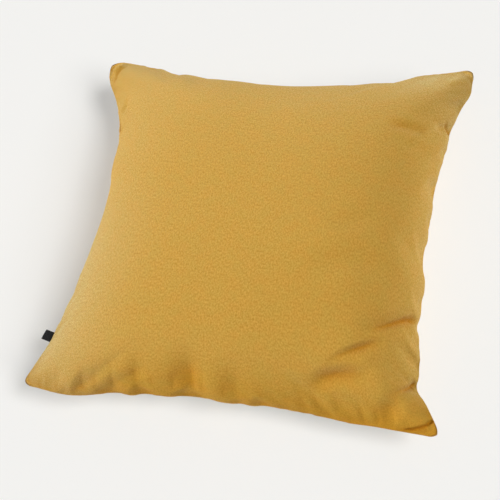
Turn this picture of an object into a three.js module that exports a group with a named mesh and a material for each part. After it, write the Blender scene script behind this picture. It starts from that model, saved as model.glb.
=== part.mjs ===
import * as THREE from "three";

// Cushion cover filled with its pad, lying on its back.
// Sizes are in mm. X runs across, Y toward the top edge and Z up from the floor.

// Tips of the four ears, where the sides of the seam meet
const topLeft = { x: -234, y: 214, z: 54, radius: 23 };
const topRight = { x: 229, y: 212, z: 52, radius: 14 };
const bottomRight = { x: 230, y: -211, z: 44, radius: 12 };
const bottomLeft = { x: -230, y: -211, z: 48, radius: 11 };

// Sides of the seam: how far each is drawn in, where along it that is deepest (0 to 1),
// how narrow the draw-in is (power), how far it sags, and how far each panel rolls out past it
const topSide = { drawIn: 36.5, deepest: 0.53, power: 1.3, sag: 8, frontRoll: 3, backRoll: 4 };
const bottomSide = { drawIn: 13, deepest: 0.5, power: 1.5, sag: 10, frontRoll: 7, backRoll: -1 };
const leftSide = { drawIn: 56.5, deepest: 0.45, power: 1, sag: 8, frontRoll: 5, backRoll: 6 };
const rightSide = { drawIn: 40, deepest: 0.55, power: 0.74, sag: 8, frontRoll: 4, backRoll: 0 };
// Places where a side stands out past its sweep, or falls short of it where the depth is below 0:
// share of the way along the side, half width and depth
topSide.swells = [
  [0.41, 30, 1.3],
  [0.87, 20, 1.6],
];
bottomSide.swells = [
  [0.13, 45, 8.6],
  [0.32, 22, 3.6],
  [0.515, 20, 2],
  [0.635, 16, -1.2],
  [0.8, 18, 1.2],
];
leftSide.swells = [
  [0.08, 16, 3.5],
  [0.3, 36, 2.2],
  [0.88, 22, -2.2],
];
rightSide.swells = [
  [0.085, 16, 4.5],
  [0.19, 16, -4.2],
  [0.43, 20, 2],
  [0.6, 26, 4],
  [0.69, 10, -1.6],
  [0.82, 16, -4.5],
];

// From here on, places on a panel are in hundredths of the way from its middle to a side:
// across to the right and up to the top edge.

// Two folds pull the right side of the seam in
const rightPulls = [
  { up: -47, halfWidth: 5, depth: 3 },
  { up: -78, halfWidth: 6, depth: 10 },
];
const pullReach = 12; // the higher, the nearer to the seam a pull ends

// Filling: height of the crown over the seam and depth of the underside below it
const crownHeight = 90;
const bellyDepth = 80;
const crownFullness = 2.5; // 2 is a lens, more is boxier
const bellyFullness = 2.4;
const wallPower = 0.5; // half way along a side the front leaves the seam upright
const backWallPower = 0.72; // and the back leaves it at a slant
const earPower = 0.85; // at the ears they leave it flat
const earOnset = 1.5; // the higher, the nearer to the ears that change comes
const floorEase = 9; // rounding where the underside meets the floor
// Slack cloth at the lower right, where the crown loses a share of its height
const slackPatch = { across: 64, up: -90, halfWidth: 38, share: 0.3 };
const rollScale = 6.75; // makes the greatest roll as large as the sides state it
const rollEnds = 0.8; // the higher, the sooner a roll dies away toward the ears
const rollNear = 3; // the higher, the nearer to its own side a roll stays

// Folds of the front. Widths and depths are in mm, and a depth below 0 is a ridge.
// The fades are the shares of a fold's length over which its start and end die away.
const folds = [
  // Creases that fan out from the lower right
  { path: [[99, -44], [85, -50], [76, -54], [64, -62]], halfWidth: 7, depth: 6, startFade: 0.1, endFade: 0.5 },
  { path: [[84, -59], [73, -65], [66, -69], [58, -77]], halfWidth: 6, depth: 5, startFade: 0.4, endFade: 0.5 },
  { path: [[84, -74], [67, -76], [53, -80], [36, -93]], halfWidth: 8, depth: 6, startFade: 0.4, endFade: 0.4 },
  { path: [[99, -76], [90, -79], [83, -82]], halfWidth: 6, depth: 5, startFade: 0.05, endFade: 0.6 },
  // Crease and hollow of the lower right ear
  { path: [[82, -97], [90, -96], [99, -90]], halfWidth: 4, depth: 4, startFade: 0.3, endFade: 0.1 },
  { path: [[74, -87], [80, -89], [86, -91]], halfWidth: 15, depth: 7, startFade: 0.5, endFade: 0.5 },
  // Soft troughs up the right half
  { path: [[30, -38], [61, -25], [88, -28]], halfWidth: 13, depth: 2.5, startFade: 0.5, endFade: 0.3 },
  { path: [[47, -10], [63, -3], [78, 1]], halfWidth: 9, depth: 1, startFade: 0.5, endFade: 0.5 },
  { path: [[66, 53], [78, 53], [90, 52]], halfWidth: 6, depth: 2, startFade: 0.4, endFade: 0.3 },
  { path: [[76, 41], [84, 42], [93, 43]], halfWidth: 5, depth: 1.2, startFade: 0.4, endFade: 0.3 },
  { path: [[72, 10], [80, 19], [90, 27]], halfWidth: 8, depth: 1, startFade: 0.5, endFade: 0.3 },
  // Ridge and crease of the upper right ear
  { path: [[82, 88], [90, 89], [98, 92]], halfWidth: 6, depth: -4, startFade: 0.5, endFade: 0.4 },
  { path: [[98, 60], [93, 62], [87, 66]], halfWidth: 5, depth: 3, startFade: 0.2, endFade: 0.6 },
  // Ridge and creases of the upper left ear
  { path: [[-96, 86], [-92, 91], [-86, 96]], halfWidth: 5, depth: -3, startFade: 0.4, endFade: 0.4 },
  { path: [[-99, 90], [-94, 94], [-90, 98]], halfWidth: 4, depth: 3, startFade: 0.3, endFade: 0.3 },
  { path: [[-93, 57], [-88, 62], [-82, 68]], halfWidth: 5, depth: 2.5, startFade: 0.2, endFade: 0.6 },
  // Pleats that rise from the bottom side
  { path: [[-64, -82], [-66, -92], [-67, -99]], halfWidth: 9, depth: 3, startFade: 0.6, endFade: 0.3 },
  { path: [[-37, -76], [-39, -89], [-40, -99]], halfWidth: 10, depth: 3, startFade: 0.6, endFade: 0.3 },
  { path: [[-18, -74], [-16, -88], [-18, -99]], halfWidth: 13, depth: 5, startFade: 0.6, endFade: 0.3 },
  { path: [[8, -78], [9, -90], [9, -99]], halfWidth: 11, depth: 3, startFade: 0.6, endFade: 0.3 },
];
// Cloth pushed up beside a fold: its height in depths, its place and width in half widths
const shoulder = { height: 0.2, place: 2, width: 0.9 };
const foldReach = 5; // half widths past which a fold is not felt
const foldPieces = 10; // straight pieces that a fold's line is laid in
const seamHold = 0.04; // share of a panel's half width over which the seam holds it smooth

// Seam label: a ribbon folded double, caught in the left side of the seam
const labelShare = 0.863; // its place along the left side, from the top
const labelWidth = 12;
const labelReach = 14; // how far it stands out
const labelPly = 0.7;
const labelGap = 0.5; // between its two plies
const labelSeat = 0.35; // clear of the seam
const labelDroop = 0.01; // how much it hangs, per mm squared
const labelArcSteps = 8;
const labelPlySteps = 6;
const labelWidthSteps = 4;

// Fineness of the surface: front in columns and rows, back in rings that shrink toward its middle
const panelSteps = 64;
const rimCrowding = 0.94; // crowds the rows toward the seam
// and toward the folds at the lower right, where rows lie closer by this share
const foldCrowding = { across: 0.78, up: -0.62, halfWidth: 0.36, share: 0.42 };
const fineRing = 0.994; // the last ring with as many points as the seam
const ringScales = [0.978, 0.955, 0.925, 0.885, 0.83, 0.76, 0.68, 0.6];
const normalStep = 0.006; // step over which the slope of the front is taken
const labelStep = 0.01; // step along the seam over which the label takes its direction

const clamp01 = (v) => Math.min(1, Math.max(0, v));
const bell = (v) => Math.exp(-v * v);
const ease = (v) => clamp01(v) ** 2 * (3 - 2 * clamp01(v));

// One point of a side of the seam, from tip a to tip b, with the tips rounded
function seamPoint(a, b, inward, side, share) {
  const length = Math.hypot(b.x - a.x, b.y - a.y);
  let run = share * length;
  let inset = 0;
  for (const [tip, fromTip, sign] of [[a, run, 1], [b, length - run, -1]]) {
    if (fromTip >= tip.radius) continue;
    const near = tip.radius * (1 - Math.SQRT1_2) + fromTip * Math.SQRT1_2;
    inset += tip.radius - Math.sqrt(tip.radius ** 2 - (tip.radius - near) ** 2);
    run = sign > 0 ? near : length - near;
  }
  const skew = Math.log(0.5) / Math.log(side.deepest);
  const drawn = Math.sin(Math.PI * (run / length) ** skew) ** side.power;
  inset += side.drawIn * drawn;
  for (const [at, halfWidth, depth] of side.swells) inset -= depth * bell((run - at * length) / halfWidth);
  const height = THREE.MathUtils.lerp(a.z, b.z, run / length) - side.sag * drawn;
  const along = new THREE.Vector3(b.x - a.x, b.y - a.y, 0).divideScalar(length);
  return new THREE.Vector3(a.x, a.y, height).addScaledVector(along, run).addScaledVector(inward, inset);
}

const rightward = new THREE.Vector3(1, 0, 0);
const leftward = new THREE.Vector3(-1, 0, 0);
const upward = new THREE.Vector3(0, 1, 0);
const downward = new THREE.Vector3(0, -1, 0);
const topSeam = (u) => seamPoint(topLeft, topRight, downward, topSide, u);
const bottomSeam = (u) => seamPoint(bottomLeft, bottomRight, upward, bottomSide, u);
const leftSeam = (v) => seamPoint(topLeft, bottomLeft, rightward, leftSide, 1 - v);
const rightSeam = (v) => seamPoint(topRight, bottomRight, leftward, rightSide, 1 - v);
const seamTips = [bottomSeam(0), bottomSeam(1), topSeam(0), topSeam(1)];

// Sheet stretched over the four sides of the seam; s runs across and t up, both from -1 to 1
function seamSheet(s, t) {
  const u = (s + 1) / 2;
  const v = (t + 1) / 2;
  const point = new THREE.Vector3();
  point.addScaledVector(bottomSeam(u), 1 - v).addScaledVector(topSeam(u), v);
  point.addScaledVector(leftSeam(v), 1 - u).addScaledVector(rightSeam(v), u);
  const tipShares = [(1 - u) * (1 - v), u * (1 - v), (1 - u) * v, u * v];
  seamTips.forEach((tip, k) => point.addScaledVector(tip, -tipShares[k]));
  if (s <= 0) return point;
  for (const pull of rightPulls) {
    point.x -= pull.depth * bell((100 * t - pull.up) / pull.halfWidth) * s ** pullReach;
  }
  return point;
}

// Share of the full height that a panel has: 0 on the seam, 1 in the middle
function fullnessAt(s, t, fullness, wall) {
  const inside = Math.max(0, (1 - Math.abs(s) ** fullness) * (1 - Math.abs(t) ** fullness));
  const power = wall + (earPower - wall) * Math.abs(s * t) ** earOnset;
  return inside ** power;
}

// Moves a point out past the seam where the filling rolls over it
function rollOut(point, s, t, full, panel) {
  const swell = rollScale * full * (1 - full) ** 2;
  const across = s < 0 ? -leftSide[panel] : rightSide[panel];
  const along = t < 0 ? -bottomSide[panel] : topSide[panel];
  point.x += across * swell * (1 - t * t) ** rollEnds * Math.abs(s) ** rollNear;
  point.y += along * swell * (1 - s * s) ** rollEnds * Math.abs(t) ** rollNear;
  return point;
}

// The front before it is creased
function smoothFront(s, t) {
  const fromSlack = Math.hypot(100 * s - slackPatch.across, 100 * t - slackPatch.up);
  const filled = 1 - slackPatch.share * bell(fromSlack / slackPatch.halfWidth);
  const full = fullnessAt(s, t, crownFullness, wallPower) * filled;
  const point = rollOut(seamSheet(s, t), s, t, full, "frontRoll");
  point.z += crownHeight * full;
  return point;
}

// The back hangs below the seam and is pressed flat by the floor
function backPoint(s, t) {
  const full = fullnessAt(s, t, bellyFullness, backWallPower);
  const point = rollOut(seamSheet(s, t), s, t, full, "backRoll");
  const hanging = point.z - bellyDepth * full;
  if (hanging < -floorEase) point.z = 0;
  else if (hanging < floorEase) point.z = (hanging + floorEase) ** 2 / (4 * floorEase);
  else point.z = hanging;
  return point;
}

// Direction in which the smooth front faces
function frontNormal(s, t) {
  const last = 1 - 2 * normalStep;
  const s0 = THREE.MathUtils.clamp(s, -last, last);
  const t0 = THREE.MathUtils.clamp(t, -last, last);
  const here = smoothFront(s0, t0);
  const right = smoothFront(s0 + normalStep, t0).sub(here);
  const up = smoothFront(s0, t0 + normalStep).sub(here);
  return right.cross(up).normalize();
}

// Lays the line of a fold on the smooth front
function layFold(fold) {
  const flat = new THREE.CatmullRomCurve3(fold.path.map(([across, up]) => new THREE.Vector3(across, up, 0)));
  const line = flat.getPoints(foldPieces).map((p) => smoothFront(p.x / 100, p.y / 100));
  return { ...fold, line };
}
const laidFolds = folds.map(layFold);

// Height that the folds add at a point of the smooth front
function foldHeight(point) {
  let height = 0;
  for (const fold of laidFolds) {
    let nearest = Infinity;
    let along = 0;
    for (let k = 0; k < foldPieces; k += 1) {
      const piece = new THREE.Line3(fold.line[k], fold.line[k + 1]);
      const share = piece.closestPointToPointParameter(point, true);
      const gap = piece.at(share, new THREE.Vector3()).distanceTo(point);
      if (gap >= nearest) continue;
      nearest = gap;
      along = (k + share) / foldPieces;
    }
    const widths = nearest / fold.halfWidth;
    if (widths > foldReach) continue;
    const strength = ease(along / fold.startFade) * ease((1 - along) / fold.endFade);
    const profile = shoulder.height * bell((widths - shoulder.place) / shoulder.width) - bell(widths);
    height += fold.depth * strength * profile;
  }
  return height;
}

function frontPoint(s, t) {
  const point = smoothFront(s, t);
  const free = ease((1 - Math.max(Math.abs(s), Math.abs(t))) / seamHold);
  if (free === 0) return point;
  return point.addScaledVector(frontNormal(s, t), free * foldHeight(point));
}

// Places of the columns or rows of the front, from -1 to 1, crowded around a centre
function panelPlaces(centre) {
  const crowd = (place) => {
    const off = place - centre;
    return place - foldCrowding.share * off * bell(off / foldCrowding.halfWidth);
  };
  return Array.from({ length: panelSteps + 1 }, (_, i) => {
    const even = (2 * i) / panelSteps - 1;
    const place = THREE.MathUtils.lerp(even, Math.sin((Math.PI / 2) * even), rimCrowding);
    return THREE.MathUtils.mapLinear(crowd(place), crowd(-1), crowd(1), -1, 1);
  });
}

// Front of the cushion as a grid, each cell split along the diagonal that lies nearer to the cloth
function addFront(columns, rows, points, faces) {
  for (const s of columns) for (const t of rows) points.push(frontPoint(s, t));
  for (let i = 0; i < panelSteps; i += 1) {
    for (let j = 0; j < panelSteps; j += 1) {
      const a = i * (panelSteps + 1) + j;
      const b = a + panelSteps + 1;
      const middle = frontPoint((columns[i] + columns[i + 1]) / 2, (rows[j] + rows[j + 1]) / 2);
      const rising = points[a].clone().lerp(points[b + 1], 0.5).distanceTo(middle);
      const falling = points[b].clone().lerp(points[a + 1], 0.5).distanceTo(middle);
      if (rising < falling) faces.push([a, b, b + 1], [a, b + 1, a + 1]);
      else faces.push([a, b, a + 1], [b, b + 1, a + 1]);
    }
  }
}

// Columns and rows of the seam's points, once round from the lower left
function rimCells() {
  const rim = [];
  for (let i = 0; i < panelSteps; i += 1) rim.push([i, 0]);
  for (let j = 0; j < panelSteps; j += 1) rim.push([panelSteps, j]);
  for (let i = panelSteps; i > 0; i -= 1) rim.push([i, panelSteps]);
  for (let j = panelSteps; j > 0; j -= 1) rim.push([0, j]);
  return rim;
}

// Back of the cushion as rings from the seam in to the flat patch it rests on
function addBack(columns, rows, points, faces) {
  const rim = rimCells();
  const addRing = (cells, scale) => {
    const first = points.length;
    for (const [i, j] of cells) points.push(backPoint(columns[i] * scale, rows[j] * scale));
    return cells.map((_, m) => first + m);
  };
  const joinRings = (outer, inner) => {
    outer.forEach((a, m) => {
      const next = (m + 1) % outer.length;
      faces.push([outer[next], a, inner[m]], [outer[next], inner[m], inner[next]]);
    });
  };
  const seam = rim.map(([i, j]) => i * (panelSteps + 1) + j);
  const fine = addRing(rim, fineRing);
  joinRings(seam, fine);
  const everyOther = rim.filter((_, m) => m % 2 === 0);
  let outer = addRing(everyOther, ringScales[0]);
  outer.forEach((a, m) => {
    const b = outer[(m + 1) % outer.length];
    const [f0, f1, f2] = [fine[2 * m], fine[2 * m + 1], fine[(2 * m + 2) % fine.length]];
    faces.push([f1, f0, a], [f1, a, b], [f2, f1, b]);
  });
  for (const scale of ringScales.slice(1)) {
    const inner = addRing(everyOther, scale);
    joinRings(outer, inner);
    outer = inner;
  }
  const middle = points.length;
  points.push(backPoint(0, 0));
  outer.forEach((a, m) => faces.push([outer[(m + 1) % outer.length], a, middle]));
}

function buildCushion() {
  const columns = panelPlaces(foldCrowding.across);
  const rows = panelPlaces(foldCrowding.up);
  const points = [];
  const faces = [];
  addFront(columns, rows, points, faces);
  addBack(columns, rows, points, faces);
  const geometry = new THREE.BufferGeometry();
  const numbers = points.flatMap((p) => [p.x, p.y, p.z]);
  geometry.setAttribute("position", new THREE.Float32BufferAttribute(numbers, 3));
  geometry.setIndex(faces.flat());
  geometry.computeVertexNormals();
  return geometry;
}

// Outline of the folded ribbon seen from its side: x runs out from the seam
function ribbonSection() {
  const outer = labelPly + labelGap / 2;
  const inner = labelGap / 2;
  const straight = labelReach - outer;
  const loopAt = (radius) => {
    const loop = [];
    for (let k = 0; k < labelPlySteps; k += 1) loop.push([(straight * k) / labelPlySteps, radius]);
    for (let k = 0; k <= labelArcSteps; k += 1) {
      const turn = (Math.PI * k) / labelArcSteps;
      loop.push([straight + radius * Math.sin(turn), radius * Math.cos(turn)]);
    }
    for (let k = labelPlySteps - 1; k >= 0; k -= 1) loop.push([(straight * k) / labelPlySteps, -radius]);
    return loop;
  };
  const outline = loopAt(outer).reverse().concat(loopAt(inner));
  return outline.map(([x, y]) => new THREE.Vector2(x, y - labelDroop * x * x));
}

function buildLabel() {
  const shape = new THREE.Shape(ribbonSection());
  const ribbon = new THREE.ExtrudeGeometry(shape, {
    depth: labelWidth,
    steps: labelWidthSteps,
    bevelEnabled: false,
  });
  ribbon.translate(labelSeat, 0, -labelWidth / 2);
  const place = 1 - labelShare;
  const alongSeam = leftSeam(place - labelStep).sub(leftSeam(place + labelStep)).normalize();
  const out = new THREE.Vector3(alongSeam.y, -alongSeam.x, 0).normalize();
  const up = out.clone().cross(alongSeam).normalize();
  const frame = new THREE.Matrix4().makeBasis(out, up, out.clone().cross(up)).setPosition(leftSeam(place));
  return ribbon.applyMatrix4(frame);
}

const cushionCloth = new THREE.MeshStandardMaterial({ color: 0xc49947, roughness: 0.95, metalness: 0 });
const cushion = new THREE.Mesh(buildCushion(), cushionCloth);
cushion.name = "cushion";

const labelTape = new THREE.MeshStandardMaterial({ color: 0x17171a, roughness: 0.8, metalness: 0 });
const label = new THREE.Mesh(buildLabel(), labelTape);
label.name = "seam_label";

// The middle of the cushion's plan stands over the origin
cushion.geometry.computeBoundingBox();
const middle = cushion.geometry.boundingBox.getCenter(new THREE.Vector3());
const part = new THREE.Group();
for (const piece of [cushion, label]) {
  piece.geometry.translate(-middle.x, -middle.y, 0);
  part.add(piece);
}

export default part;
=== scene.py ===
import math

import bpy
import numpy as np
from mathutils import Euler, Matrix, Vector


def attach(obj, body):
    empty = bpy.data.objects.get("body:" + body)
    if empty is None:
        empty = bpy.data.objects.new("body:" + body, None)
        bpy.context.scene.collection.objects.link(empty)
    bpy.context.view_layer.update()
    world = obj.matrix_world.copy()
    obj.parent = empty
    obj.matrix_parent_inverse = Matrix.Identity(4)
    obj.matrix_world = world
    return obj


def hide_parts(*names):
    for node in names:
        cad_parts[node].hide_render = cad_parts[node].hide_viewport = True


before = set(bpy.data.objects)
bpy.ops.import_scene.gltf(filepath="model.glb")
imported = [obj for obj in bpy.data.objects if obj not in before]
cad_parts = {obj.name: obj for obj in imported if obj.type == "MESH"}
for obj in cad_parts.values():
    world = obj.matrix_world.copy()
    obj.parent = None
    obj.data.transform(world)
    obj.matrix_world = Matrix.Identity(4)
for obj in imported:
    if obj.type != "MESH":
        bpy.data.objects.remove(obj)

scene = bpy.context.scene
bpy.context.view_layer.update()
mm = 0.001


def put(name, data):
    made = bpy.data.objects.new(name, data)
    scene.collection.objects.link(made)
    return made


def meshNow(body):
    # what the body's modifiers make of it, as a mesh of its own
    return bpy.data.meshes.new_from_object(body.evaluated_get(bpy.context.evaluated_depsgraph_get()))


def numbersOf(items, name, width=1, kind=np.float32):
    numbers = np.zeros(len(items) * width, kind)
    items.foreach_get(name, numbers)
    return numbers


# camera: stands over the lower right ear and is turned a little clockwise

camera = {
    "place": (0.27886, -0.40474, 0.968),
    "turn": (24.02, 12.61, 10.16),  # degrees
    "lens": 66.8,
    "sensor": 36.0,
}


def addCamera():
    data = bpy.data.cameras.new("photoCamera")
    data.lens = camera["lens"]
    data.sensor_width = camera["sensor"]
    eye = put("photoCamera", data)
    eye.location = camera["place"]
    eye.rotation_euler = Euler([math.radians(a) for a in camera["turn"]])
    scene.camera = eye


addCamera()
print("camera placed")


# node trees: a Wire is one output socket, and Python's operators on it add Math nodes


class Wire:
    def __init__(self, tree, socket):
        self.tree = tree
        self.socket = socket

    def math(self, operation, *terms):
        return self.tree.node("ShaderNodeMath", {"operation": operation}, dict(enumerate(terms)))

    def sine(self):
        return self.math("SINE", self)

    def __add__(self, other):
        return self.math("ADD", self, other)

    def __sub__(self, other):
        return self.math("SUBTRACT", self, other)

    def __mul__(self, other):
        return self.math("MULTIPLY", self, other)

    def __rsub__(self, other):
        return self.math("SUBTRACT", other, self)

    def __gt__(self, other):
        return self.math("GREATER_THAN", self, other)

    def __abs__(self):
        return self.math("ABSOLUTE", self)

    __radd__ = __add__
    __rmul__ = __mul__


class Tree:
    def __init__(self, nodeTree):
        self.nodeTree = nodeTree

    def node(self, kind, settings=None, inputs=None, output=None):
        # the wire is the output of that name, or else the first one
        made = self.nodeTree.nodes.new(kind)
        for name, value in (settings or {}).items():
            if name == "stops":  # a colour ramp's places and colours
                while len(made.color_ramp.elements) < len(value):
                    made.color_ramp.elements.new(0.5)
                for stop, (place, colour) in zip(made.color_ramp.elements, value):
                    stop.position = place
                    stop.color = colour
            else:
                setattr(made, name, value)
        for key, value in (inputs or {}).items():
            socket = made.inputs[key] if isinstance(key, int) else self.socketNamed(made.inputs, key)
            if isinstance(value, Wire):
                self.nodeTree.links.new(value.socket, socket)
            else:
                socket.default_value = value
        if output:
            return Wire(self, self.socketNamed(made.outputs, output))
        first = next((socket for socket in made.outputs if socket.enabled), None)
        return Wire(self, first) if first else None

    def socketNamed(self, sockets, name):
        return next(socket for socket in sockets if socket.name == name and socket.enabled)


def srgb(red, green, blue):
    parts = [v / 255 for v in (red, green, blue)]
    return tuple(((v + 0.055) / 1.055) ** 2.4 if v > 0.04045 else v / 12.92 for v in parts) + (1.0,)


# cushion: the same named sizes as its solid, in mm

cushion = {
    "tips": {
        "topLeft": (-234, 213, 54, 26),  # x, y, z and how far the tip is rounded
        "topRight": (229, 212, 52, 14),
        "bottomRight": (230, -211, 44, 12),
        "bottomLeft": (-230, -211, 48, 11),
    },
    "sides": {
        "top": {"drawIn": 36.5, "deepest": 0.53, "power": 1.3, "sag": 8, "frontRoll": 3, "backRoll": 4},
        "bottom": {"drawIn": 13, "deepest": 0.5, "power": 1.5, "sag": 10, "frontRoll": 7, "backRoll": -1},
        "left": {"drawIn": 56.5, "deepest": 0.45, "power": 1, "sag": 8, "frontRoll": 5, "backRoll": 6},
        "right": {"drawIn": 40, "deepest": 0.55, "power": 0.74, "sag": 8, "frontRoll": 4, "backRoll": 0},
    },
    "swells": {  # where a side stands out past its sweep: share along it, half width and depth
        "top": [(0.205, 14, -0.7), (0.41, 30, 1.3), (0.87, 20, 1.6)],
        "bottom": [
            (0.13, 45, 8.6),
            (0.275, 14, 2.2),
            (0.35, 26, 2.2),
            (0.51, 24, 2.1),
            (0.57, 10, 0.8),
            (0.8, 18, 1.2),
        ],
        "left": [(0.08, 16, 3.5), (0.33, 36, 1.6), (0.39, 18, 3), (0.88, 22, -2.2)],
        "right": [
            (0.075, 16, 4.8),
            (0.19, 13, -2.0),
            (0.43, 20, 2),
            (0.495, 18, 2),
            (0.625, 26, 3.8),
            (0.78, 11, -2.0),
            (0.84, 16, -4.5),
            (0.935, 10, -1.5),
        ],
    },
    "rightPulls": [{"up": -47, "halfWidth": 5, "depth": 3}, {"up": -78, "halfWidth": 6, "depth": 10}],
    "pullReach": 12,
    "crownHeight": 90,
    "bellyDepth": 80,
    "crownFullness": 2.5,
    "bellyFullness": 2.4,
    "wallPower": 0.5,
    "backWallPower": 0.72,  # the back leaves the seam at a slant
    "earPower": 0.85,
    "earOnset": 1.5,
    "floorEase": 9,
    "slackPatch": {"across": 64, "up": -90, "halfWidth": 38, "share": 0.3},
    "rollScale": 6.75,
    "rollEnds": 0.8,
    "rollNear": 3,
    "planShift": (0.859, 1.459),  # puts the middle of the plan over the origin
    "frontSteps": 128,
    "backSteps": 64,
    "rimCrowding": 0.94,
    "foldCrowding": {"across": 0.78, "up": -0.62, "halfWidth": 0.36, "share": 0.42},
    "backRings": (0.9985, 0.9955, 0.991, 0.985),  # rings of the back, next to the seam
    "backGrid": 0.976,  # the back's grid starts here
}

# folds of the front, where the solid has its own or close by: places in hundredths of the panel,
# half width and depth in mm, the shares of its length over which a fold's start and end die away,
# and how much painted shade is laid along it

mainFolds = [
    ([(99, -44), (85, -50), (76, -54), (64, -62)], 8, 3, 0.1, 0.5, 0.12),
    ([(84, -59), (73, -64), (66, -68), (58, -74)], 7, 2.5, 0.4, 0.5, 0.12),
    ([(80, -74), (67, -76), (53, -80), (38, -93)], 9, 4, 0.4, 0.4, 0.2),
    ([(99, -75), (90, -79), (83, -82)], 6, 2, 0.05, 0.6, 0),
    ([(74, -87), (80, -89), (86, -91)], 15, 5, 0.5, 0.5, 0.14),
    ([(30, -38), (61, -25), (88, -28)], 13, 2.5, 0.5, 0.3, 0),
    ([(47, -10), (63, -3), (78, 1)], 9, 1, 0.5, 0.5, 0),
    ([(66, 53), (78, 53), (90, 52)], 6, 2, 0.4, 0.3, 0.08),
    ([(76, 41), (84, 42), (93, 43)], 5, 1.2, 0.4, 0.3, 0),
    ([(72, 10), (80, 19), (90, 27)], 8, 1, 0.5, 0.3, 0),
    ([(82, 88), (90, 89), (98, 92)], 6, -1.5, 0.5, 0.4, 0),
    ([(98, 58), (92, 60), (86, 63)], 5, 1.5, 0.3, 0.6, 0),
    ([(-96, 86), (-92, 91), (-86, 96)], 5, -3, 0.4, 0.4, 0),
    ([(-99, 90), (-94, 94), (-90, 98)], 4, 3, 0.3, 0.3, 0),
    ([(-93, 57), (-88, 62), (-82, 68)], 5, 2.5, 0.2, 0.6, 0),
    ([(-64, -82), (-66, -92), (-67, -99)], 9, 2, 0.6, 0.3, 0.05),
    ([(-37, -76), (-39, -89), (-40, -99)], 10, 2, 0.6, 0.3, 0.12),
    ([(-15, -74), (-13, -88), (-15, -99)], 13, 4.2, 0.6, 0.3, 0.3),
    ([(8, -78), (9, -90), (9, -99)], 11, 3, 0.6, 0.3, 0.12),
]

# sharp creases that lie in the folds, too narrow for the solid, with painted shade in the last column

creases = [
    ([(100, -45.5), (95, -45.4), (90, -48), (83, -52), (77, -55), (68, -59)], 2.7, 4.2, 0.2, 0.6, 0.5),
    ([(86, -58), (76.5, -61.5), (71, -64), (64, -67), (57, -71), (52, -75)], 3.4, 3.0, 0.4, 0.5, 0.3),
    ([(72, -74), (57, -78), (50, -81.5), (44, -86.5)], 6, 2.2, 0.4, 0.5, 0.15),
    ([(99.5, -74.5), (95, -76.3), (90, -78.5), (80, -82.5)], 2.0, 3.2, 0.15, 0.45, 0.45),
    ([(99.5, -91.5), (96, -92.6), (91.7, -95), (86.7, -97.4), (81, -99)], 1.5, 2.6, 0.05, 0.3, 0.45),
    ([(100, 60), (97, 62), (93.5, 65.5)], 1.6, 2.4, 0.05, 0.6, 0.6),
    ([(86, 55.5), (77, 54), (68, 54)], 3.4, 1.2, 0.4, 0.5, 0.12),
    # the slit at the top left ear is painted almost black: painted shade where the back panel lies in deep
    # shadow
    ([(-97, 62), (-97.5, 55), (-96, 49), (-93, 43)], 2.6, 4.2, 0.5, 0.4, 1.0),
    ([(-93, 42), (-90, 48), (-86, 53)], 2.6, -1.1, 0.2, 0.6, 0),
    ([(-96, 80), (-91, 86), (-85, 94)], 2.2, 1.8, 0.3, 0.3, 0.3),
]

# section of a fold: cloth pushed out of the trough stands up as a shoulder on each side of it
foldShape = {
    "shoulderHeight": 0.2,
    "shoulderPlace": 2,  # in half widths, as is the next
    "shoulderWidth": 0.9,
    "pieces": 10,
    "seamHold": 0.04,  # share of the panel, from the seam, over which the seam holds it flat
}
creaseShape = {**foldShape, "shoulderHeight": 0.12, "pieces": 16, "seamHold": 0.04 / 3}
paintedShadeSpread = 1.2  # the painted shade of a fold is this much wider than the fold

# fine upright puckers over the bottom seam, places in hundredths
puckers = {
    "from": -66,
    "to": 74,
    "count": 17,
    "stray": 2.4,
    "head": -84,
    "headStray": 3,
    "waist": -92,
    "foot": -99,
    "halfWidth": 2.6,
    "depth": 0.8,
    "sizeSpread": 0.4,  # share by which the largest is larger
    "startFade": 0.6,
    "endFade": 0.3,
    # painted shade along each pucker
    "tone": 0.08,
    "seed": 11,
}


def bell(v):
    return np.exp(-v * v)


def ease(v):
    v = np.clip(v, 0, 1)
    return v * v * (3 - 2 * v)


def seamSide(start, end, inward, name, share):
    a, b = cushion["tips"][start], cushion["tips"][end]
    side = cushion["sides"][name]
    length = math.hypot(b[0] - a[0], b[1] - a[1])
    run = share * length
    inset = np.zeros_like(run)
    for tip, fromTip, atStart in ((a, run, True), (b, length - run, False)):
        radius = tip[3]
        near = radius * (1 - math.sqrt(0.5)) + fromTip * math.sqrt(0.5)
        closeBy = fromTip < radius
        curve = radius - np.sqrt(np.maximum(radius**2 - (radius - near) ** 2, 0))
        inset = inset + np.where(closeBy, curve, 0)
        run = np.where(closeBy, near if atStart else length - near, run)
    skew = math.log(0.5) / math.log(side["deepest"])
    drawn = np.maximum(np.sin(math.pi * (run / length) ** skew), 0) ** side["power"]
    inset = inset + side["drawIn"] * drawn
    for at, halfWidth, depth in cushion["swells"][name]:
        inset = inset - depth * bell((run - at * length) / halfWidth)
    height = a[2] + (b[2] - a[2]) * run / length - side["sag"] * drawn
    x = a[0] + (b[0] - a[0]) / length * run + inward[0] * inset
    y = a[1] + (b[1] - a[1]) / length * run + inward[1] * inset
    return np.stack([x, y, height], -1)


def topSeam(u):
    return seamSide("topLeft", "topRight", (0, -1), "top", u)


def bottomSeam(u):
    return seamSide("bottomLeft", "bottomRight", (0, 1), "bottom", u)


def leftSeam(v):
    return seamSide("topLeft", "bottomLeft", (1, 0), "left", 1 - v)


def rightSeam(v):
    return seamSide("topRight", "bottomRight", (-1, 0), "right", 1 - v)


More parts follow.
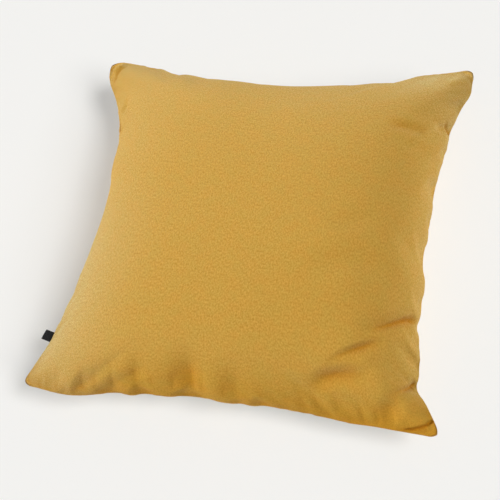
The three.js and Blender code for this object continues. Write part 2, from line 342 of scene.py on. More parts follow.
def seamSheet(s, t):
    u, v = (s + 1) / 2, (t + 1) / 2
    u1, v1 = u[..., None], v[..., None]
    zero, one = np.zeros(1), np.ones(1)
    point = bottomSeam(u) * (1 - v1) + topSeam(u) * v1 + leftSeam(v) * (1 - u1) + rightSeam(v) * u1
    point = point - bottomSeam(zero) * (1 - u1) * (1 - v1) - bottomSeam(one) * u1 * (1 - v1)
    point = point - topSeam(zero) * (1 - u1) * v1 - topSeam(one) * u1 * v1
    for pull in cushion["rightPulls"]:
        reach = np.maximum(s, 0) ** cushion["pullReach"]
        point[..., 0] -= pull["depth"] * bell((100 * t - pull["up"]) / pull["halfWidth"]) * reach
    return point


def fullnessAt(s, t, fullness, wall):
    inside = (1 - np.abs(s) ** fullness) * (1 - np.abs(t) ** fullness)
    power = wall + (cushion["earPower"] - wall) * np.abs(s * t) ** cushion["earOnset"]
    return np.maximum(inside, 0) ** power


def rollOut(point, s, t, full, panel):
    swell = cushion["rollScale"] * full * (1 - full) ** 2
    side = cushion["sides"]
    across = np.where(s < 0, -side["left"][panel], side["right"][panel])
    along = np.where(t < 0, -side["bottom"][panel], side["top"][panel])
    ends, near = cushion["rollEnds"], cushion["rollNear"]
    point[..., 0] += across * swell * (1 - t * t) ** ends * np.abs(s) ** near
    point[..., 1] += along * swell * (1 - s * s) ** ends * np.abs(t) ** near


def smoothFront(s, t, share=1.0):
    slack = cushion["slackPatch"]
    fromSlack = np.hypot(100 * s - slack["across"], 100 * t - slack["up"])
    full = fullnessAt(s, t, cushion["crownFullness"], cushion["wallPower"])
    full = full * (1 - slack["share"] * bell(fromSlack / slack["halfWidth"]))
    point = seamSheet(s, t)
    rollOut(point, s, t, full, "frontRoll")
    point[..., 2] += share * cushion["crownHeight"] * full
    return point


def smoothBack(s, t, share=1.0):
    full = fullnessAt(s, t, cushion["bellyFullness"], cushion["backWallPower"])
    point = seamSheet(s, t)
    rollOut(point, s, t, full, "backRoll")
    rounding = cushion["floorEase"]
    hanging = point[..., 2] - share * cushion["bellyDepth"] * full
    eased = (hanging + rounding) ** 2 / (4 * rounding)
    point[..., 2] = np.where(hanging < -rounding, 0, np.where(hanging < rounding, eased, hanging))
    return point


def layLine(path, pieces):
    # smooth line through a fold's places, laid on the front
    points = np.array(path, float)
    ends = np.vstack([2 * points[0] - points[1], points, 2 * points[-1] - points[-2]])
    line = []
    for k in range(pieces + 1):
        whole = min(k / pieces * (len(points) - 1), len(points) - 1 - 1e-9)
        i, f = int(whole), whole - int(whole)
        p0, p1, p2, p3 = ends[i : i + 4]
        bend = (2 * p0 - 5 * p1 + 4 * p2 - p3) * f * f + (3 * p1 - 3 * p2 + p3 - p0) * f**3
        line.append(p1 + 0.5 * ((p2 - p0) * f + bend))
    line = np.array(line) / 100
    return smoothFront(line[:, 0], line[:, 1])


def foldHeight(points, folds, shape):
    # height that the folds give each point, and how much painted shade it gets
    height = np.zeros(len(points))
    paintedShadeDepth = np.zeros(len(points))
    pieces = shape["pieces"]
    for path, halfWidth, depth, startFade, endFade, tone in folds:
        line = layLine(path, pieces)
        nearest = np.full(len(points), np.inf)
        along = np.zeros(len(points))
        for k in range(pieces):
            start, reach = line[k], line[k + 1] - line[k]
            share = np.clip((points - start) @ reach / (reach @ reach), 0, 1)
            gap = np.linalg.norm(points - start - share[:, None] * reach, axis=1)
            closer = gap < nearest
            nearest = np.where(closer, gap, nearest)
            along = np.where(closer, (k + share) / pieces, along)
        widths = nearest / halfWidth
        strength = ease(along / startFade) * ease((1 - along) / endFade)
        raised = shape["shoulderHeight"] * bell((widths - shape["shoulderPlace"]) / shape["shoulderWidth"])
        height += depth * strength * (raised - bell(widths))
        paintedShadeDepth += tone * strength * bell(widths / paintedShadeSpread)
    return height, paintedShadeDepth


def puckerFolds():
    random = np.random.default_rng(puckers["seed"])
    folds = []
    for place in np.linspace(puckers["from"], puckers["to"], puckers["count"]):
        stray, lean, size = random.uniform(-1, 1, 3)
        foot = place + puckers["stray"] * stray
        head = (foot + 2 * lean, puckers["head"] + puckers["headStray"] * size)
        path = [head, (foot + lean, puckers["waist"]), (foot, puckers["foot"])]
        share = 1 + puckers["sizeSpread"] * size
        section = (puckers["halfWidth"] * share, puckers["depth"] * share)
        folds.append((path, *section, puckers["startFade"], puckers["endFade"], puckers["tone"]))
    return folds


def panelPlaces(steps, centre):
    even = np.linspace(-1, 1, steps + 1)
    place = even + cushion["rimCrowding"] * (np.sin(math.pi / 2 * even) - even)
    fold = cushion["foldCrowding"]

    def crowd(p):
        return p - fold["share"] * (p - centre) * bell((p - centre) / fold["halfWidth"])

    low, high = crowd(-1.0), crowd(1.0)
    return (crowd(place) - low) / (high - low) * 2 - 1


def roundOf(index):
    # the points of a grid's edge, once round
    return np.concatenate([index[:-1, 0], index[-1, :-1], index[:0:-1, -1], index[0, :0:-1]])


def cushionGrid():
    # places on the panels and faces of the whole cushion: a grid in front, rings and a coarser grid behind
    steps = cushion["frontSteps"]
    columns = panelPlaces(steps, cushion["foldCrowding"]["across"])
    rows = panelPlaces(steps, cushion["foldCrowding"]["up"])
    s, t = [a.ravel() for a in np.meshgrid(columns, rows, indexing="ij")]
    index = np.arange((steps + 1) ** 2).reshape(steps + 1, steps + 1)
    corners = (index[:-1, :-1], index[1:, :-1], index[1:, 1:], index[:-1, 1:])
    faces = np.stack([c.ravel() for c in corners], 1).tolist()
    frontFaces = len(faces)
    rim = roundOf(index)
    places = [np.stack([s, t], 1)]
    ahead = np.roll(np.arange(len(rim)), -1)
    ring = rim
    for k, scale in enumerate(cushion["backRings"]):
        outer, ring = ring, len(s) + k * len(rim) + np.arange(len(rim))
        places.append(places[0][rim] * scale)
        faces += [[outer[b], outer[a], ring[a], ring[b]] for a, b in enumerate(ahead)]
    skip = steps // cushion["backSteps"]
    inner = [line[::skip] * cushion["backGrid"] for line in (columns, rows)]
    inner = np.meshgrid(*inner, indexing="ij")
    places.append(np.stack([a.ravel() for a in inner], 1))
    backIndex = ring[-1] + 1 + np.arange((cushion["backSteps"] + 1) ** 2)
    backIndex = backIndex.reshape(cushion["backSteps"] + 1, -1)
    edge = roundOf(backIndex)
    for m, a in enumerate(edge):
        b = edge[(m + 1) % len(edge)]
        f0, f1, f2 = ring[2 * m], ring[2 * m + 1], ring[(2 * m + 2) % len(ring)]
        faces += [[f1, f0, a], [f1, a, b], [f2, f1, b]]
    corners = (backIndex[:-1, :-1], backIndex[:-1, 1:], backIndex[1:, 1:], backIndex[1:, :-1])
    faces += np.stack([c.ravel() for c in corners], 1).tolist()
    return np.vstack(places), faces, len(s), frontFaces


def meshOf(name, points, faces):
    mesh = bpy.data.meshes.new(name)
    mesh.from_pydata((points * mm).tolist(), [], faces)
    mesh.update()
    return mesh


def pointsOf(mesh):
    return numbersOf(mesh.vertices, "co", 3).reshape(-1, 3).astype(float) / mm


def putPoints(mesh, points):
    mesh.vertices.foreach_set("co", (points * mm).astype(np.float32).ravel())
    mesh.update()


def normalsOf(mesh):
    return numbersOf(mesh.vertex_normals, "vector", 3).reshape(-1, 3).astype(float)


def keepValues(mesh, name, values, domain="POINT"):
    mesh.attributes.new(name, "FLOAT", domain).data.foreach_set("value", values.astype(np.float32))


def valuesOf(mesh, name):
    return numbersOf(mesh.attributes[name].data, "value").astype(float)


# filling: the cover starts slack and is blown up against its seam by the cloth solver

filling = {
    "startShare": 0.93,  # share of the full height it starts with
    "pressure": 6.0,
    "frames": 20,
    "quality": 6,
    "tension": 15.0,
    "shear": 7.5,
    "bending": 0.05,
    "mass": 0.2,
    "seamSlack": 0.045,  # spare cloth gathered into the seam
    "slackLevels": 20,  # steps of spare cloth between the seam and the taut places
    "crownSlack": 0.12,  # share of it that the middle of the panels has
    "slackReach": 30,  # mm from the seam
    "seamStrip": 2,  # mm of cloth that the seam holds
    "farthest": 9,  # mm that a point may move
    "restHeight": 0.05,  # mm above the floor up to which the back is held by it
}


def blowUp(mesh, pinned, slackShare):
    body = put("slackCover", mesh.copy())
    pins = body.vertex_groups.new(name="heldBySeam")
    pins.add([int(i) for i in np.flatnonzero(pinned)], 1.0, "REPLACE")
    taut = body.vertex_groups.new(name="taut")  # weight 0 has the most spare cloth, weight 1 none
    steps = filling["slackLevels"]
    levels = np.round((1 - slackShare) * steps).astype(int)
    for level in range(1, steps + 1):
        chosen = np.flatnonzero(levels == level)
        taut.add([int(i) for i in chosen], level / steps, "REPLACE")
    cloth = body.modifiers.new("fill", "CLOTH")
    rules = cloth.settings
    rules.quality = filling["quality"]
    rules.mass = filling["mass"]
    rules.tension_stiffness = filling["tension"]
    rules.compression_stiffness = filling["tension"]
    rules.shear_stiffness = filling["shear"]
    rules.bending_stiffness = filling["bending"]
    rules.vertex_group_mass = "heldBySeam"
    rules.vertex_group_shrink = "taut"
    rules.shrink_min = -filling["seamSlack"]
    rules.shrink_max = 0.0
    rules.use_pressure = True
    rules.uniform_pressure_force = filling["pressure"]
    rules.effector_weights.gravity = 0.0
    cloth.collision_settings.use_self_collision = False
    cloth.point_cache.frame_start = 1
    cloth.point_cache.frame_end = filling["frames"]
    for number in range(1, filling["frames"] + 1):
        scene.frame_set(number)
    blown = meshNow(body)
    after = pointsOf(blown)
    bpy.data.meshes.remove(blown)
    bpy.data.objects.remove(body)
    scene.frame_set(1)
    return after


# seam: the two panels roll over into the line where they are sewn together, sizes in mm

seam = {
    "grooveHalfWidth": 0.8,
    "grooveDepth": 1.1,
    "lipAt": 2.2,
    "lipHalfWidth": 1.5,
    "lipHeight": 0.35,
    "toneReach": 5,
    "bottomFrom": 0.75,  # painted shade over the bottom seam, where the cloth turns under away from the light, from here down
    "bottomReach": 16,
    "paintedBottomShade": 0.25,
}


def buildCushion():
    # the filled cover, with its places on the panels kept on its points for what follows
    places, faces, frontCount, frontFaces = cushionGrid()
    isFront = np.arange(len(places)) < frontCount
    s, t = places.T
    share = filling["startShare"]
    start = np.where(isFront[:, None], smoothFront(s, t, share), smoothBack(s, t, share))
    onSeam = isFront & (np.maximum(np.abs(s), np.abs(t)) > 1 - 1e-9)
    mesh = meshOf("filled_cover", start, faces)
    seamPoints = start[onSeam]
    fromSeam = np.array([np.sqrt(((seamPoints - p) ** 2).sum(1).min()) for p in start])
    resting = ~isFront & (start[:, 2] < filling["restHeight"])
    pinned = (fromSeam < filling["seamStrip"]) | resting
    near = ease(1 - fromSeam / filling["slackReach"])
    slackShare = (near + (1 - near) * filling["crownSlack"]) * ~resting
    after = blowUp(mesh, pinned, slackShare)
    moved = after - start
    far = np.linalg.norm(moved, axis=1)
    print("filling moved the cover by", round(far.mean(), 2), "mm, at most", round(far.max(), 2))
    after = start + moved * np.minimum(1, filling["farthest"] / np.maximum(far, 1e-6))[:, None]
    after[:, 2] = np.maximum(after[:, 2], 0)
    putPoints(mesh, after)
    for name, values in (("across", s), ("up", t), ("front", isFront), ("fromSeam", fromSeam)):
        keepValues(mesh, name, values)
    keepValues(mesh, "nearSeam", bell(fromSeam / seam["toneReach"]))
    keepValues(mesh, "behind", np.arange(len(faces)) >= frontFaces, "FACE")
    ends = numbersOf(mesh.edges, "vertices", 2, np.int32).reshape(-1, 2)
    keepValues(mesh, "crease_edge", onSeam[ends].all(1), "EDGE")
    return mesh


def smoothOnce(body):
    smoother = body.modifiers.new("finer", "SUBSURF")
    smoother.levels = 1
    smoother.render_levels = 1


def finer(mesh):
    # one subdivision, with the seam kept sharp
    body = put("coarse", mesh)
    smoothOnce(body)
    result = meshNow(body)
    bpy.data.objects.remove(body)
    bpy.data.meshes.remove(mesh)
    return result


def creaseCover(mesh):
    # folds, creases and the seam's groove along the normals, and painted shade in folds and at the bottom
    # seam
    s, t, front, fromSeam = [valuesOf(mesh, name) for name in ("across", "up", "front", "fromSeam")]
    points = pointsOf(mesh)
    inFront = front > 0.5
    smooth = smoothFront(s[inFront], t[inFront])
    edge = 1 - np.maximum(np.abs(s), np.abs(t))[inFront]
    height = np.zeros(len(points))
    paintedShadeDepth = np.zeros(len(points))
    for folds, shape in ((mainFolds, foldShape), (creases + puckerFolds(), creaseShape)):
        raised, deep = foldHeight(smooth, folds, shape)
        height[inFront] += ease(edge / shape["seamHold"]) * raised
        paintedShadeDepth[inFront] += deep
    # painted shade along the bottom seam, where the front turns under away from the light
    low = ease((-t - seam["bottomFrom"]) / (1 - seam["bottomFrom"])) * bell(fromSeam / seam["bottomReach"])
    paintedShadeDepth += inFront * low * seam["paintedBottomShade"]
    keepValues(mesh, "deepTone", np.clip(paintedShadeDepth, 0, 1))
    height -= seam["grooveDepth"] * bell(fromSeam / seam["grooveHalfWidth"])
    height += seam["lipHeight"] * bell((fromSeam - seam["lipAt"]) / seam["lipHalfWidth"])
    points += normalsOf(mesh) * height[:, None]
    points[:, 2] = np.maximum(points[:, 2], 0)
    points[:, 0] += cushion["planShift"][0]
    points[:, 1] += cushion["planShift"][1]
    putPoints(mesh, points)


# nap and painted sheen: how far the fibres stand up, as shares. Past the middle they are raised at the
# left and the top right as a painted highlight and pressed down at the bottom as painted shade, each from
# a place on the panel over a stretch of it

napAndPaintedSheen = {
    "middle": 0.36,
    "left": {"more": 0.1, "from": 0.35, "over": 0.6},
    "lowLeft": {"more": 0.5, "from": -0.3, "over": 1.0},
    "bottom": {"more": -0.36, "from": 0.75, "over": 0.22},
    "bottomLeft": 0.4,  # share of the bottom's that the left lacks
    "topRight": {"more": 0.35, "from": 1.3, "over": 0.5},
}


def layNapAndPaintedSheen(mesh):
    s, t, front = [valuesOf(mesh, name) for name in ("across", "up", "front")]

    def past(name, place):
        return ease((place - napAndPaintedSheen[name]["from"]) / napAndPaintedSheen[name]["over"])

    left = past("left", -s)
    shares = {
        "left": left,
        "lowLeft": left * past("lowLeft", -t),
        "bottom": past("bottom", -t) * (1 - napAndPaintedSheen["bottomLeft"] * left),
        "topRight": past("topRight", s + t),
    }
    raised = sum(napAndPaintedSheen[name]["more"] * share for name, share in shares.items())
    keepValues(mesh, "napRaised", np.clip(napAndPaintedSheen["middle"] + raised * (front > 0.5), 0, 1))


cutCloth = {"measuredAt": 401, "backShift": 0.6}  # places from seam to seam, metres from panel to panel


def lengthAlong(panel, across):
    # place on the cut cloth, in mm, for each share from one seam to the other
    share = np.sin(np.linspace(-1, 1, cutCloth["measuredAt"]) * math.pi / 2)
    still = np.zeros_like(share)
    line = panel(share, still) if across else panel(still, share)
    run = np.concatenate([[0], np.cumsum(np.linalg.norm(np.diff(line, axis=0), axis=1))])
    return share, run - run[-1] / 2


def layPattern(mesh):
    # UV map in metres of cut cloth, so that the weave keeps its size
    s, t = valuesOf(mesh, "across"), valuesOf(mesh, "up")
    behind = valuesOf(mesh, "behind") > 0.5
    corners = numbersOf(mesh.loops, "vertex_index", 1, np.int32)
    back = np.repeat(behind, numbersOf(mesh.polygons, "loop_total", 1, np.int32))
    place = np.zeros((len(corners), 2))
    for axis, share in enumerate((s, t)):
        frontPlace = np.interp(share[corners], *lengthAlong(smoothFront, axis == 0))
        backPlace = np.interp(share[corners], *lengthAlong(smoothBack, axis == 0))
        place[:, axis] = np.where(back, backPlace, frontPlace) * mm
    place[:, 0] += np.where(back, cutCloth["backShift"], 0)
    layer = mesh.uv_layers.new(name="cloth")
    layer.data.foreach_set("uv", place.astype(np.float32).ravel())


coverMesh = finer(buildCushion())
creaseCover(coverMesh)
layNapAndPaintedSheen(coverMesh)
layPattern(coverMesh)
coverMesh.polygons.foreach_set("use_smooth", np.ones(len(coverMesh.polygons), bool))
coverMesh.name = "filled_cover"
cover = put("filled_cover", coverMesh)
print("cushion has", len(coverMesh.polygons), "faces")


# what repeats along a path is made by geometry nodes and then kept as a plain mesh


def repeatTree(name, sizes):
    group = bpy.data.node_groups.new(name, "GeometryNodeTree")
    group.interface.new_socket("Path", in_out="INPUT", socket_type="NodeSocketGeometry")
    for label, value in sizes.items():
        kind = "NodeSocketInt" if isinstance(value, int) else "NodeSocketFloat"
        group.interface.new_socket(label, in_out="INPUT", socket_type=kind).default_value = value
    group.interface.new_socket("Finish", in_out="INPUT", socket_type="NodeSocketMaterial")
    group.interface.new_socket("Result", in_out="OUTPUT", socket_type="NodeSocketGeometry")
    tree = Tree(group)
    enter = group.nodes.new("NodeGroupInput")
    return tree, {socket.name: Wire(tree, socket) for socket in enter.outputs if socket.name}


def closeTree(tree, shape, finish):
    real = tree.node("GeometryNodeRealizeInstances", None, {"Geometry": shape})
    painted = tree.node("GeometryNodeSetMaterial", None, {"Geometry": real, "Material": finish})
    tree.node("NodeGroupOutput", None, {"Result": painted})


def growAlong(name, line, closed, tree, values):
    curve = bpy.data.curves.new(name + "_path", "CURVE")
    curve.dimensions = "3D"
    spline = curve.splines.new("POLY")
    spline.points.add(len(line) - 1)
    spline.points.foreach_set("co", np.hstack([line * mm, np.ones((len(line), 1))]).ravel())
    spline.use_cyclic_u = closed
    path = put(name + "_path", curve)
    nodes = path.modifiers.new("repeat", "NODES")
    nodes.node_group = tree
    for item in tree.interface.items_tree:
        if item.in_out == "INPUT" and item.name in values:
            nodes[item.identifier] = values[item.name]
    mesh = meshNow(path)
    path.modifiers.clear()
    bpy.data.objects.remove(path)
    bpy.data.curves.remove(curve)
    mesh.name = name
    return put(name, mesh)


# stitches: the thread shows in the seam as small bars

stitches = {
    "Pitch": 0.0032,  # metres from one stitch to the next
    "Length": 0.0023,
    "Thickness": 0.0006,
    "Unevenness": 0.12,  # share by which a stitch is larger or smaller
    "Seed": 5,
}


def stitchTree():
    tree, given = repeatTree("seamStitches", stitches)
    thick = given["Thickness"]
    pitch = {"Curve": given["Path"], "Length": given["Pitch"]}
    spaced = tree.node("GeometryNodeResampleCurve", {"mode": "LENGTH"}, pitch)
    bar = tree.node("GeometryNodeMeshUVSphere", None, {"Segments": 8, "Rings": 5, "Radius": 0.5})
    size = tree.node("ShaderNodeCombineXYZ", None, {"X": given["Length"], "Y": thick, "Z": thick})
    bar = tree.node("GeometryNodeTransform", None, {"Geometry": bar, "Scale": size})
    tangent = tree.node("GeometryNodeInputTangent")
    turn = tree.node("FunctionNodeAlignRotationToVector", {"axis": "X"}, {"Vector": tangent})
    uneven = {"Min": 1 - given["Unevenness"], "Max": 1 + given["Unevenness"], "Seed": given["Seed"]}
    scale = tree.node("FunctionNodeRandomValue", {"data_type": "FLOAT"}, uneven)
    placing = {"Points": spaced, "Instance": bar, "Rotation": turn, "Scale": scale}
    closeTree(tree, tree.node("GeometryNodeInstanceOnPoints", None, placing), given["Finish"])
    return tree.nodeTree


def seamLine(mesh):
    # the seam's own points, once round
    s, t = valuesOf(mesh, "across"), valuesOf(mesh, "up")
    onSeam = np.flatnonzero(np.maximum(np.abs(s), np.abs(t)) > 1 - 1e-5)
    turn = np.arctan2(t[onSeam], s[onSeam])
    return pointsOf(mesh)[onSeam[np.argsort(turn)]]


def newFinish(name):
    # a new material and the tree that its other nodes go in
    finish = bpy.data.materials.new(name)
    finish.use_nodes = True
    finish.node_tree.nodes.clear()
    tree = Tree(finish.node_tree)
    return finish, tree


def closeMaterial(tree, inputs):
    shader = tree.node("ShaderNodeBsdfPrincipled", None, inputs)
    tree.node("ShaderNodeOutputMaterial", None, {"Surface": shader})


def colourMix(tree, factor, first, second):
    settings = {"data_type": "RGBA", "blend_type": "MIX"}
    return tree.node("ShaderNodeMix", settings, {"Factor": factor, "A": first, "B": second})


def vectorMath(tree, operation, first, second):
    key = "Scale" if operation == "SCALE" else 1
    return tree.node("ShaderNodeVectorMath", {"operation": operation}, {0: first, key: second})


def noise(tree, place, scale, detail, roughness=0.5):
    inputs = {"Vector": place, "Scale": scale, "Detail": detail, "Roughness": roughness}
    return tree.node("ShaderNodeTexNoise", None, inputs)


def bumpOf(tree, height, depth):
    return tree.node("ShaderNodeBump", None, {"Height": height, "Strength": 1.0, "Distance": depth})


def acrossAndUp(tree, layer):
    # places on the cut cloth, from a UV map in metres
    place = tree.node("ShaderNodeUVMap", {"uv_map": layer})
    return place, *[tree.node("ShaderNodeSeparateXYZ", None, {0: place}, axis) for axis in "XY"]


# cloth: fine plain weave of hard twisted yarn, whose crepe grain shows from a step away

clothLook = {
    "orange": (212, 155, 40),  # the dye takes a little unevenly
    "green": (208, 157, 42),
    "yarnPitch": 0.00055,  # metres
    "yarnWander": 0.35,
    "grainAcross": 0.0015,
    "grainUp": 0.0022,
    "patch": 0.016,
    "patchEdge": 0.12,  # how soft the patches' edges are, as a share of the noise on each side
    "grainDeep": (0.74, 0.6, 0.2),  # what the dye is multiplied by between the yarns
    "grainPale": (1.28, 1.47, 3.0),  # and on top of them
    "grainDepth": 0.0006,
    "grainShare": 0.65,  # of the relief, the rest is the yarns
    "seamTone": 0.04,
    "paintedShadeRamp": [  # painted shade: what the dye is multiplied by, from the open cloth down to the bottom of a fold
        (0.0, (1.0, 1.0, 1.0, 1.0)),
        (0.5, (0.9, 0.72, 0.14, 1.0)),
        (1.0, (0.5, 0.3, 0.03, 1.0)),
    ],
    "roughness": 0.9,
    "roughnessSpread": 0.1,
    "specular": 0.25,
    "sheen": 1.0,  # of the cloth whose nap stands up, laid out as painted highlight; pressed flat, as painted shade, it has none
    "napGrain": 1.5,  # how much more nap there is on top of the yarns
    "sheenRoughness": 0.6,
    "sheenTint": (1.0, 1.0, 0.6, 1.0),
}


def clothFinish():
    look = clothLook
    finish, tree = newFinish("mustardCrepe")
    kept = {
        name: tree.node("ShaderNodeAttribute", {"attribute_name": name}, None, "Fac")
        for name in ("nearSeam", "deepTone", "napRaised")
    }
    place, across, up = acrossAndUp(tree, "cloth")
    grainSize = (1 / look["grainAcross"], 1 / look["grainUp"], 1)
    grain = noise(tree, vectorMath(tree, "MULTIPLY", place, grainSize), 1.0, 1.0)
    patches = noise(tree, place, 1 / look["patch"], 3.0, 0.55)
    wander = (grain - 0.5) * look["yarnWander"] * 2 * math.pi
    turns = 2 * math.pi / look["yarnPitch"]
    yarns = (across * turns + wander).sine() * (up * turns - wander).sine() * 0.5 + 0.5
    relief = grain * look["grainShare"] + yarns * (1 - look["grainShare"])

    black, white, edge = (0, 0, 0, 1), (1, 1, 1, 1), look["patchEdge"]
    stops = [(0.5 - edge, black), (0.5 + edge, white)]
    hue = tree.node("ShaderNodeValToRGB", {"stops": stops}, {"Fac": patches})
    dyed = colourMix(tree, hue, srgb(*look["orange"]), srgb(*look["green"]))
    yarnTone = colourMix(tree, grain, look["grainDeep"] + (1,), look["grainPale"] + (1,))
    speckled = vectorMath(tree, "MULTIPLY", dyed, yarnTone)
    toned = vectorMath(tree, "SCALE", speckled, 1 + kept["nearSeam"] * look["seamTone"])
    # painted shade in the folds and over the bottom seam: darker and more orange towards a fold's bottom
    shade = tree.node("ShaderNodeValToRGB", {"stops": look["paintedShadeRamp"]}, {"Fac": kept["deepTone"]})
    inputs = {
        "Base Color": vectorMath(tree, "MULTIPLY", toned, shade),
        "Roughness": look["roughness"] - (grain - 0.5) * look["roughnessSpread"],
        "Normal": bumpOf(tree, relief, look["grainDepth"]),
        "Specular IOR Level": look["specular"],
    }
    flat = tree.node("ShaderNodeBsdfPrincipled", None, inputs)
    inputs["Sheen Weight"] = look["sheen"]
    inputs["Sheen Roughness"] = look["sheenRoughness"]
    inputs["Sheen Tint"] = look["sheenTint"]
    brushed = tree.node("ShaderNodeBsdfPrincipled", None, inputs)
    # sheen follows the painted nap layout, is taken out where shade is painted in the folds, and is more
    # on top of the yarns
    raised = kept["napRaised"] * (1 - kept["deepTone"]) * (1 + (grain - 0.5) * look["napGrain"])
    cloth = tree.node("ShaderNodeMixShader", None, {0: raised, 1: flat, 2: brushed})
    tree.node("ShaderNodeOutputMaterial", None, {"Surface": cloth})
    return finish


threadLook = {
    "colour": (184, 138, 58),
    "deep": 0.85,  # what the colour is multiplied by between the plies
    "pale": 1.15,  # and on top of them
    "twist": 0.0004,  # metres
    "twistDepth": 0.00008,
    "roughness": 0.6,
    "sheen": 0.3,
}


def threadFinish():
    look = threadLook
    finish, tree = newFinish("mustardThread")
    ply = noise(tree, tree.node("ShaderNodeTexCoord", None, None, "Object"), 1 / look["twist"], 1.0)
    tone = look["deep"] + ply * (look["pale"] - look["deep"])
    inputs = {
        "Base Color": vectorMath(tree, "SCALE", srgb(*look["colour"])[:3], tone),
        "Roughness": look["roughness"],
        "Normal": bumpOf(tree, ply, look["twistDepth"]),
        "Sheen Weight": look["sheen"],
    }
    closeMaterial(tree, inputs)
    return finish


coverMesh.materials.append(clothFinish())
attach(cover, "root")
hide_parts("cushion")

given = {**stitches, "Finish": threadFinish()}
thread = growAlong("seam_stitches", seamLine(coverMesh), True, stitchTree(), given)
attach(thread, "root")
print("seam has", len(thread.data.polygons), "faces of thread")


# label: a ribbon folded double and caught in the left side of the seam, sizes in mm

label = {
    "share": 0.863,  # its place along the left side, from the top
    "width": 12,
    "reach": 14,
    "ply": 0.45,
    "gap": 1.0,
    "caught": 1.6,  # how far its ends run into the seam
    "droop": 0.01,  # per mm squared
    "parting": 3,  # its plies part over this much past the seam
    "curl": 0.35,  # how far its long edges curl
    "curlPower": 4,
    "curlStart": 4,  # the curl grows over this much past the seam
    "plySteps": 10,
    "arcSteps": 8,
    "widthSteps": 10,
    "nearby": 0.01,  # share of the seam on each side that gives its direction
}


def ribbonPlaces():
    # the folded ribbon from its side, out along the upper ply and back along the lower one
    middle = (label["ply"] + label["gap"]) / 2
    straight = label["reach"] - middle - label["ply"] / 2
    out = np.linspace(-label["caught"], straight, label["plySteps"] + 1)
    turn = np.linspace(0, math.pi, label["arcSteps"] + 1)[1:-1]
    x = np.concatenate([out, straight + middle * np.sin(turn), out[::-1]])
    apart = middle * ease((out + label["caught"]) / (label["caught"] + label["parting"]))
    y = np.concatenate([apart, middle * np.cos(turn), -apart[::-1]])
    return x, y


def buildLabel():
    # the ribbon at its place in the seam, and the length it is cut to
    x, y = ribbonPlaces()
    across = np.linspace(-0.5, 0.5, label["widthSteps"] + 1)
    run = np.concatenate([[0], np.cumsum(np.hypot(np.diff(x), np.diff(y)))])
    shifts = np.array([0, -label["nearby"], label["nearby"]])
    seamPoint, ahead, behind = leftSeam(1 - label["share"] + shifts)
    along = (ahead - behind) / np.linalg.norm(ahead - behind)
    out = np.array([along[1], -along[0], 0])
    out = out / np.linalg.norm(out)
    up = np.cross(out, along)
    up = up / np.linalg.norm(up)
    points = []
    for px, py in zip(x, y):
        for share in across:
            bend = label["curl"] * (2 * share) ** label["curlPower"] * (1 if py > 0 else -1)
            free = max(px, 0)
            height = py - label["droop"] * free**2 - bend * ease(free / label["curlStart"])
            points.append(seamPoint + out * px + up * height + np.cross(out, up) * share * label["width"])
    points = np.array(points)
    points[:, 0] += cushion["planShift"][0]
    points[:, 1] += cushion["planShift"][1]
    columns = label["widthSteps"] + 1
    faces = []
    for i in range(len(x) - 1):
        for j in range(label["widthSteps"]):
            a = i * columns + j
            faces.append([a, a + 1, a + columns + 1, a + columns])
    mesh = meshOf("seam_ribbon", points, faces)
    layer = mesh.uv_layers.new(name="tape")
    corners = numbersOf(mesh.loops, "vertex_index", 1, np.int32)
    place = np.stack([across[corners % columns] * label["width"], run[corners // columns]], 1) * mm
    layer.data.foreach_set("uv", place.astype(np.float32).ravel())
    body = put("seam_ribbon", mesh)
    wall = body.modifiers.new("ply", "SOLIDIFY")
    wall.thickness = label["ply"] * mm
    wall.offset = 0
    smoothOnce(body)
    result = meshNow(body)
    body.modifiers.clear()
    body.data = result
    result.polygons.foreach_set("use_smooth", np.ones(len(result.polygons), bool))
    result.name = "seam_ribbon"
    return body, float(run[-1])


tapeLook = {
    "colour": (9, 9, 10),
    "pale": (26, 26, 28),
    "ribPitch": 0.0005,  # metres
    "ribDepth": 0.0001,
    "edgeWidth": 0.0009,
    "edgePitch": 1.5,  # ribs of the edge for each rib between
    "edgeWear": 0.25,  # shares of the pale colour
    "ribWear": 0.25,
    "fluff": 0.0006,
    "fluffHeight": 0.5,  # of a rib
    "fluffWear": 0.2,
    "roughness": 0.62,
    "roughnessSpread": 0.2,
    "sheen": 0.05,
    "specular": 0.12,
}


def tapeFinish():
    look = tapeLook
    finish, tree = newFinish("blackTape")
    place, across, along = acrossAndUp(tree, "tape")
    turns = 2 * math.pi / look["ribPitch"]
    ribs = (along * turns).sine() * 0.5 + 0.5
    warp = (across * turns * look["edgePitch"]).sine() * 0.5 + 0.5
    fluff = noise(tree, place, 1 / look["fluff"], 2.0)
    edge = abs(across) > label["width"] * mm / 2 - look["edgeWidth"]
    relief = ribs * (1 - edge) + warp * edge + fluff * look["fluffHeight"]
    worn = ribs * look["ribWear"] + edge * look["edgeWear"] + fluff * look["fluffWear"]
    inputs = {
        "Base Color": colourMix(tree, worn, srgb(*look["colour"]), srgb(*look["pale"])),
        "Roughness": look["roughness"] + (fluff - 0.5) * look["roughnessSpread"],
        "Normal": bumpOf(tree, relief, look["ribDepth"]),
        "Sheen Weight": look["sheen"],
        "Specular IOR Level": look["specular"],
    }
    closeMaterial(tree, inputs)
    return finish


ribbon, ribbonLength = buildLabel()
ribbon.data.materials.append(tapeFinish())
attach(ribbon, "root")
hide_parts("seam_label")
print("label ribbon is", round(ribbonLength, 1), "mm long")


# studio: pale floor and soft lights

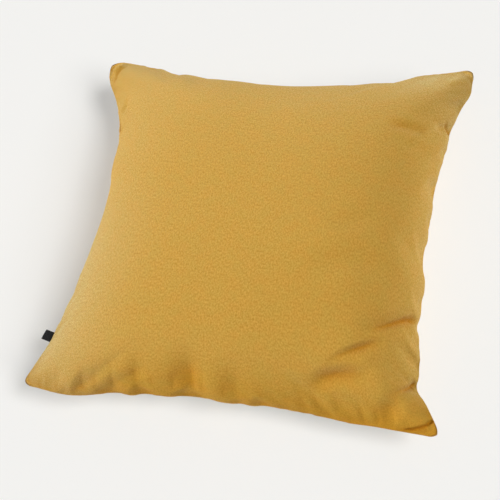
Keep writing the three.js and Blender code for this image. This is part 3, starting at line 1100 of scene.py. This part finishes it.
studio = {
    "floorSize": 6.0,  # metres
    "floorDrop": 0.0003,
    "lampsAt": 2.0,  # metres from the cushion, which doesn't change a sun's light
    "floorColour": (0.9, 0.895, 0.875),
    "lights": {  # azimuth, elevation and softness in degrees, strength
        "highLight": (0, 50, 30, 1.35),
        "topLight": (60, 42, 30, 0.42),
        "rightLight": (22, 22, 30, 1.22),
        "leftLight": (157, 22, 30, 1.1),
        "lowLeftLight": (202, 22, 30, 3.05),
    },
    "floorLights": {
        "shadowLight": (0, 50, 22, 1.2),
        "lowShadowLight": (-20, 35, 22, 0.77),
    },
    # the floor's sky is warm and its fill cool, which keeps the cloth's glow off the floor
    "floorSky": (0, 90, 170, 0.75),
    "skyColour": (1.5, 1.0, 0.5),
    "floorFill": (0, 90, 5, 1.0),  # casts no shadow
    "fillColour": (0.625, 1.0, 1.375),
}


def addSun(name, azimuth, elevation, softness, strength, lit, colour=(1, 1, 1)):
    data = bpy.data.lights.new(name, "SUN")
    data.angle = math.radians(softness)
    data.energy = strength
    data.color = colour
    lamp = put(name, data)
    turn, lift = math.radians(azimuth), math.radians(elevation)
    towards = Vector((math.cos(turn) * math.cos(lift), math.sin(turn) * math.cos(lift), math.sin(lift)))
    lamp.rotation_euler = towards.to_track_quat("Z", "Y").to_euler()
    lamp.location = towards * studio["lampsAt"]
    lamp.light_linking.receiver_collection = lit
    return data


def backdrop():
    # pale beyond the floor's far edge; only the camera sees it, so that it lights nothing
    world = bpy.data.worlds.new("paleBackdrop")
    world.use_nodes = True
    world.node_tree.nodes.clear()
    tree = Tree(world.node_tree)
    seen = tree.node("ShaderNodeLightPath", None, None, "Is Camera Ray")
    inputs = {"Color": studio["floorColour"] + (1.0,), "Strength": seen}
    pale = tree.node("ShaderNodeBackground", None, inputs)
    tree.node("ShaderNodeOutputWorld", None, {"Surface": pale})
    scene.world = world


def buildStudio():
    reach, drop = studio["floorSize"] / 2 / mm, studio["floorDrop"] / mm
    corners = [(x * reach, y * reach, -drop) for x, y in ((-1, -1), (1, -1), (1, 1), (-1, 1))]
    floorMesh = meshOf("floor", np.array(corners), [[0, 1, 2, 3]])
    floor = put("floor", floorMesh)
    paper, tree = newFinish("palePaper")
    matt = {"Roughness": 1.0, "Specular IOR Level": 0.0}
    closeMaterial(tree, {"Base Color": studio["floorColour"] + (1.0,), **matt})
    floorMesh.materials.append(paper)
    # the floor has lights of its own, so that the shadow falls to the left as in the photo
    onFloor = bpy.data.collections.new("litFloor")
    onFloor.objects.link(floor)
    onCushion = bpy.data.collections.new("litCushion")
    for piece in (cover, thread, ribbon):
        onCushion.objects.link(piece)
    for name, values in studio["lights"].items():
        addSun(name, *values, onCushion)
    for name, values in studio["floorLights"].items():
        addSun(name, *values, onFloor)
    addSun("floorSky", *studio["floorSky"], onFloor, studio["skyColour"])
    fill = addSun("floorFill", *studio["floorFill"], onFloor, studio["fillColour"])
    fill.use_shadow = False
    backdrop()
    scene.view_settings.view_transform = "Standard"


buildStudio()
print("studio set")
